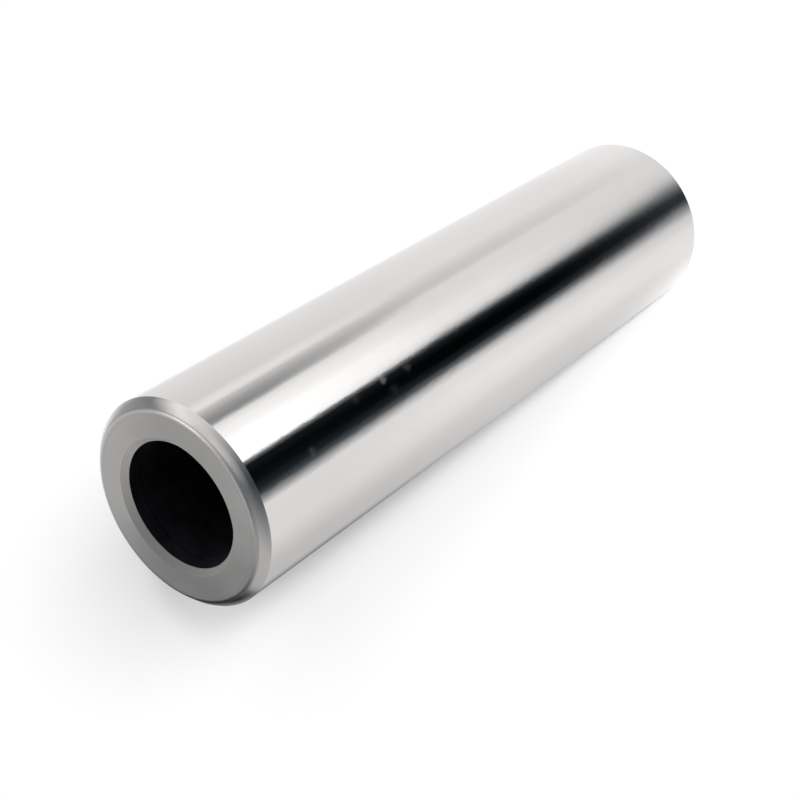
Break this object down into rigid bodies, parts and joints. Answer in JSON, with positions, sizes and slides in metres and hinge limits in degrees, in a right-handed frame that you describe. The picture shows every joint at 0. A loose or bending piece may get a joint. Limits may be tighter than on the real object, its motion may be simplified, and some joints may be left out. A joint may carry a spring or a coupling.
{
  "type": "gudgeon pin",
  "caption": "Hollow cylindrical steel pin with a mirror-polished outside, flat annular ends, chamfered edges and a plain bore right through.",
  "frame": {"origin": "centre of the lower end face, which the pin stands on", "axes": "+Z along the pin's axis, up from the lower end face; X and Y are any two square directions, because the pin is round"},
  "size_m": [0.02, 0.02, 0.078],
  "materials": {
    "polished_steel": "ground and mirror polished on the bearing diameter, satin on the end faces, dark and unpolished in the bore"
  },
  "bodies": {
    "root": {"gudgeon_pin": "polished_steel"}
  },
  "joints": []
}
